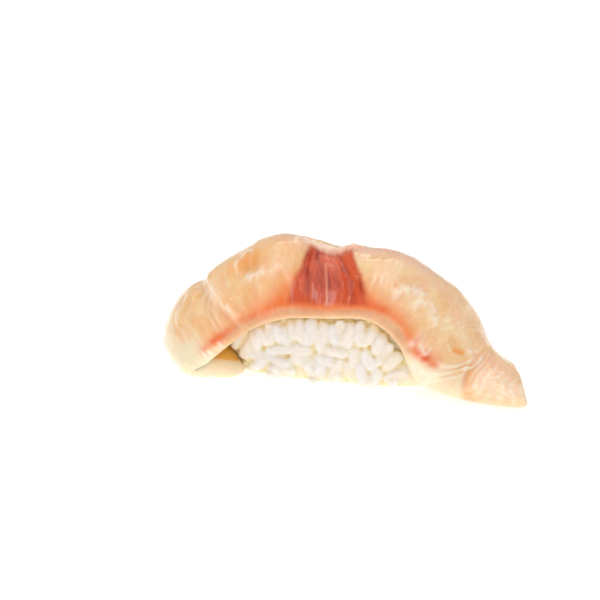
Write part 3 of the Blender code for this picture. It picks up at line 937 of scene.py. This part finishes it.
def make_grains(block, slice_tree):
    """All grains joined where they stick together, each with a tone of its own, and warm painted
    shade where the skin lies deep.
    """
    rng = np.random.RandomState(SEED)
    block.data.calc_loop_triangles()
    block_tree = tree_of(block)
    form, form_faces = grain_form()
    points, faces, tone = [], [], []
    for layer in LAYERS:
        for grain in lay_grains(block_tree, slice_tree, block, layer, rng):
            start = len(points) * len(form)
            faces += [[i + start for i in face] for face in form_faces]
            points.append(grain)
            tone.append(rng.random_sample())
    filler_points, filler_faces = filler_of(block)
    start = len(points) * len(form)
    faces += [[i + start for i in face] for face in filler_faces]
    points.append(filler_points)
    tone.append(0.5)
    loose = bpy.data.meshes.new("loose_grains")
    loose.from_pydata(np.concatenate(points).tolist(), [], faces)
    loose_grains = bpy.data.objects.new("loose_grains", loose)
    loose_tree = tree_of(loose_grains)
    mesh = joined(loose_grains, GRAIN_VOXEL)
    mesh.name = "rice_grains"
    skin = np.array([v.co for v in mesh.vertices])
    closest_face = np.array([loose_tree.find_nearest(Vector(p))[2] for p in skin])
    owner = np.minimum(closest_face // len(form_faces), len(tone) - 1)
    # how deep each point of the skin lies, for the painted shade of the creases
    set_values(mesh, "crease_shade", smooth(*CREASE_SHADE_HEIGHTS, height_over(block_tree, skin)))
    set_values(mesh, "tone", np.array(tone)[owner])
    mesh.shade_smooth()
    grains = bpy.data.objects.new("rice_grains", mesh)
    bpy.context.scene.collection.objects.link(grains)
    return grains


# Materials


def new_material(name):
    """A material with an empty Principled shader, its node tree and that shader."""
    made = bpy.data.materials.new(name)
    made.use_nodes = True
    return made, made.node_tree, made.node_tree.nodes["Principled BSDF"]


def put(tree, value, socket):
    """Links another node's socket to this one, or sets its value."""
    if isinstance(value, bpy.types.NodeSocket):
        tree.links.new(value, socket)
    else:
        socket.default_value = value


def stored(tree, name):
    """A number that the mesh stores for each vertex."""
    node = tree.nodes.new("ShaderNodeAttribute")
    node.attribute_name = name
    return node.outputs["Fac"]


def mix(tree, share, one, two):
    """One colour turning into another as share goes from 0 to 1."""
    node = tree.nodes.new("ShaderNodeMix")
    node.data_type = "RGBA"
    put(tree, share, node.inputs["Factor"])
    put(tree, one, node.inputs[6])
    put(tree, two, node.inputs[7])
    return node.outputs[2]


def times(tree, one, two, added=0.0):
    """The product of two numbers, with a third one added to it."""
    node = tree.nodes.new("ShaderNodeMath")
    node.operation = "MULTIPLY_ADD"
    for socket, number in zip(node.inputs, (one, two, added)):
        put(tree, number, socket)
    return node.outputs[0]


def spread(tree, value, low, high, new_low=0.0, new_high=1.0):
    """Maps a number from one range to another, and keeps it there."""
    node = tree.nodes.new("ShaderNodeMapRange")
    for socket, number in zip(node.inputs, (value, low, high, new_low, new_high)):
        put(tree, number, socket)
    return node.outputs[0]


def flat_vector(tree, x, y, x_scale, y_scale):
    """A place for a pattern from two stored numbers, each with its own scale."""
    node = tree.nodes.new("ShaderNodeCombineXYZ")
    put(tree, times(tree, stored(tree, x), x_scale), node.inputs[0])
    put(tree, times(tree, stored(tree, y), y_scale), node.inputs[1])
    return node.outputs[0]


def cloudy(tree, place, scale, detail=3.0, roughness=0.5):
    """A noise pattern over the given places."""
    node = tree.nodes.new("ShaderNodeTexNoise")
    put(tree, place, node.inputs["Vector"])
    put(tree, scale, node.inputs["Scale"])
    put(tree, detail, node.inputs["Detail"])
    put(tree, roughness, node.inputs["Roughness"])
    return node.outputs["Fac"]


def bump(tree, height, strength, distance):
    node = tree.nodes.new("ShaderNodeBump")
    put(tree, height, node.inputs["Height"])
    put(tree, strength, node.inputs["Strength"])
    put(tree, distance, node.inputs["Distance"])
    return node.outputs["Normal"]


# The slice's patterns: name, strength and colour, painted one over the other.
FLESH_TINTS = (
    ("blush", 0.6, (238, 178, 158)),
    # orange stain, and painted shade in the hollows, the crevice and the notch
    ("amber_and_hollow_shade", 0.75, (242, 160, 74)),
    # pale flakes, and painted highlights on the wrinkles
    ("flake_and_highlight", 0.65, (254, 242, 222)),
    ("lip", 0.85, (204, 154, 115)),
    ("rim", 1.0, (240, 204, 162)),
    # painted glow of light through the flesh, in the shade under the slice
    ("underside_glow_and_shade", 1.0, (255, 198, 98)),
    # painted shade on the tail's lower side, which faces down
    ("edge", 0.8, (226, 182, 146)),
    ("pale", 0.85, (246, 229, 198)),
    ("fringe", 0.85, (240, 138, 76)),
    ("line", 1.0, (230, 100, 44)),
)
LAST_TINTS = (  # the same, painted over the blood line
    ("streak", 0.5, (244, 170, 130)),
    ("glint", 0.52, (255, 244, 232)),
)


def painted(tree, colour, tints):
    """A colour with the slice's patterns painted over it."""
    for name, strength, tint in tints:
        colour = mix(tree, times(tree, stored(tree, name), strength), colour, srgb(*tint))
    return colour


def blood_colour(tree, fibres):
    """Dark red with lighter fibres and patches, turning to orange at the fan's foot."""
    patches = cloudy(tree, flat_vector(tree, "across_fan", "across_slice", 1.6, 0.16), 1.0, 1.0)
    blood = mix(tree, spread(tree, fibres, 0.36, 0.66), srgb(152, 26, 6), srgb(222, 90, 34))
    blood = mix(tree, spread(tree, patches, 0.42, 0.62, 0.0, 0.7), blood, srgb(222, 98, 54))
    foot = spread(tree, stored(tree, "across_slice"), -9.0, -13.0, 0.0, 0.5)
    return mix(tree, foot, blood, srgb(224, 100, 52))


def fish_material():
    """Pale raw flesh: warm and cool clouds, flakes and painted highlights, a red fan and line, and
    a wet coat.
    """
    made, tree, shader = new_material("fish")
    flat = flat_vector(tree, "along_slice", "across_slice", 1.0, 1.0)
    fibres = cloudy(tree, flat_vector(tree, "across_fan", "across_slice", 4.0, 0.12), 1.0, 3.5, 0.6)
    clouds = cloudy(tree, flat, 0.16)
    grain = cloudy(tree, flat, 1.1, 4.0, 0.6)

    flesh = mix(tree, spread(tree, clouds, 0.4, 0.6), srgb(239, 191, 136), srgb(245, 210, 162))
    flesh = painted(tree, flesh, (("pink", 0.6, (244, 196, 170)),))
    flesh = mix(tree, spread(tree, grain, 0.45, 0.75, 0.0, 0.3), flesh, srgb(252, 230, 198))
    flesh = painted(tree, flesh, FLESH_TINTS)
    flesh = mix(tree, stored(tree, "blood"), flesh, blood_colour(tree, fibres))
    put(tree, painted(tree, flesh, LAST_TINTS), shader.inputs["Base Color"])

    put(tree, spread(tree, grain, 0.3, 0.7, 0.28, 0.48), shader.inputs["Roughness"])
    height = times(tree, fibres, stored(tree, "blood"), grain)
    put(tree, bump(tree, height, 0.45, 0.3 * MM), shader.inputs["Normal"])
    shader.inputs["Specular IOR Level"].default_value = 0.1
    shader.inputs["Subsurface Weight"].default_value = 0.8
    shader.inputs["Subsurface Radius"].default_value = (1.0, 0.55, 0.3)
    shader.inputs["Subsurface Scale"].default_value = 3.5 * MM
    shader.inputs["Coat Weight"].default_value = 0.75
    shader.inputs["Coat Roughness"].default_value = 0.09
    shader.inputs["Coat IOR"].default_value = 1.42
    return made


def rice_material(name, crease_shade_colour, pale):
    """Moist cooked rice: pale, a little see-through, with warm painted shade where a grain lies
    deep.
    """
    made, tree, shader = new_material(name)
    place = tree.nodes.new("ShaderNodeTexCoord").outputs["Object"]
    clouds = cloudy(tree, place, 900.0)
    colour = mix(tree, spread(tree, clouds, 0.35, 0.7), pale, srgb(233, 229, 226))
    colour = mix(tree, times(tree, stored(tree, "tone"), 0.35), colour, srgb(240, 220, 190))
    # warm painted shade in the creases between grains
    colour = mix(tree, times(tree, stored(tree, "crease_shade"), 0.85), colour, crease_shade_colour)
    put(tree, colour, shader.inputs["Base Color"])
    put(tree, bump(tree, clouds, 0.25, 0.15 * MM), shader.inputs["Normal"])
    shader.inputs["Roughness"].default_value = 0.22
    shader.inputs["Specular IOR Level"].default_value = 0.45
    shader.inputs["Subsurface Weight"].default_value = 1.0
    shader.inputs["Subsurface Radius"].default_value = (1.0, 0.94, 0.82)
    shader.inputs["Subsurface Scale"].default_value = 2.6 * MM
    return made


def core_material():
    """The rice behind the grains that show: cloudy and see-through, warm as painted shade of the
    gaps between grains.
    """
    made, tree, shader = new_material("rice_inside")
    place = tree.nodes.new("ShaderNodeTexCoord").outputs["Object"]
    clouds = cloudy(tree, place, 450.0)
    # warm colour: painted shade of the gaps between grains, where the core shows through
    colour = mix(tree, spread(tree, clouds, 0.35, 0.65), srgb(250, 230, 184), srgb(250, 238, 208))
    put(tree, colour, shader.inputs["Base Color"])
    put(tree, bump(tree, clouds, 0.5, 0.5 * MM), shader.inputs["Normal"])
    shader.inputs["Roughness"].default_value = 0.5
    shader.inputs["Subsurface Weight"].default_value = 0.5
    shader.inputs["Subsurface Radius"].default_value = (1.0, 0.75, 0.45)
    shader.inputs["Subsurface Scale"].default_value = 3.0 * MM
    return made


def floor_material():
    """A plain white surface that stays white in the soft light."""
    made, _, shader = new_material("floor")
    shader.inputs["Base Color"].default_value = (0.7, 0.7, 0.7, 1)
    shader.inputs["Roughness"].default_value = 0.7
    shader.inputs["Emission Color"].default_value = (1, 1, 1, 1)
    shader.inputs["Emission Strength"].default_value = 0.6
    return made


# Stage


def make_floor():
    bpy.ops.mesh.primitive_plane_add(size=6.0, location=(0, 0, 0))
    floor = bpy.context.object
    floor.name = "floor"
    floor.data.materials.append(floor_material())


def add_light(name, place, size, power):
    """A soft light with square corners that faces the middle of the piece."""
    light = bpy.data.lights.new(name, "AREA")
    light.shape = "RECTANGLE"
    light.size, light.size_y = size
    light.energy = power
    lamp = bpy.data.objects.new(name, light)
    lamp.location = place
    way = Vector(LIGHT_AIM) - Vector(place)
    lamp.rotation_euler = way.to_track_quat("-Z", "Y").to_euler()
    bpy.context.scene.collection.objects.link(lamp)


def make_lights():
    add_light("over", (-0.05, 0.15, 0.75), (0.7, 0.7), 1.9)
    add_light("above_left", (-0.12, -0.15, 0.80), (0.2, 0.2), 0.5)
    add_light("above_right", (0.25, -0.20, 0.75), (0.2, 0.2), 0.4)
    add_light("left", (-0.55, -0.15, 0.55), (0.07, 0.07), 0.15)
    add_light("front", (-0.05, -0.85, 0.16), (0.8, 0.3), 1.8)
    add_light("strip", (-0.10, 0.50, 0.60), (0.5, 0.06), 0.5)
    add_light("low_right", (0.45, -0.60, 0.08), (0.3, 0.15), 0.25)
    world = bpy.data.worlds.new("studio")
    world.use_nodes = True
    world.node_tree.nodes["Background"].inputs["Color"].default_value = (1, 1, 1, 1)
    world.node_tree.nodes["Background"].inputs["Strength"].default_value = 0.45
    bpy.context.scene.world = world


def make_camera():
    """The photo's view: low, from the front and a little to the right."""
    way = Vector(
        (
            math.sin(AZIMUTH) * math.cos(ELEVATION),
            -math.cos(AZIMUTH) * math.cos(ELEVATION),
            math.sin(ELEVATION),
        )
    )
    camera = bpy.data.cameras.new("camera")
    camera.lens = LENS
    camera.clip_start = 0.01
    eye = bpy.data.objects.new("camera", camera)
    eye.location = Vector(AIM) + way * DISTANCE
    eye.rotation_euler = (-way).to_track_quat("-Z", "Y").to_euler()
    bpy.context.scene.collection.objects.link(eye)
    bpy.context.scene.camera = eye


def main():
    make_camera()
    make_lights()
    make_floor()
    bpy.context.scene.view_settings.view_transform = "Standard"

    fish, shift = make_slice()
    fish.data.materials.append(fish_material())
    slice_tree = tree_of(fish)
    block = rice_block("rice_core", slice_tree, shift)
    grains = make_grains(block, slice_tree)
    # the first colour is the painted shade of the creases, the second the grains' own pale colour
    grains.data.materials.append(rice_material("rice", srgb(247, 231, 182), srgb(226, 219, 210)))
    sink(block)
    bpy.context.scene.collection.objects.link(block)
    block.data.materials.append(core_material())
    for piece in (fish, grains, block):
        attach(piece, "root")
    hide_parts("fish_slice")
    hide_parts("rice")
    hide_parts("rice")


main()
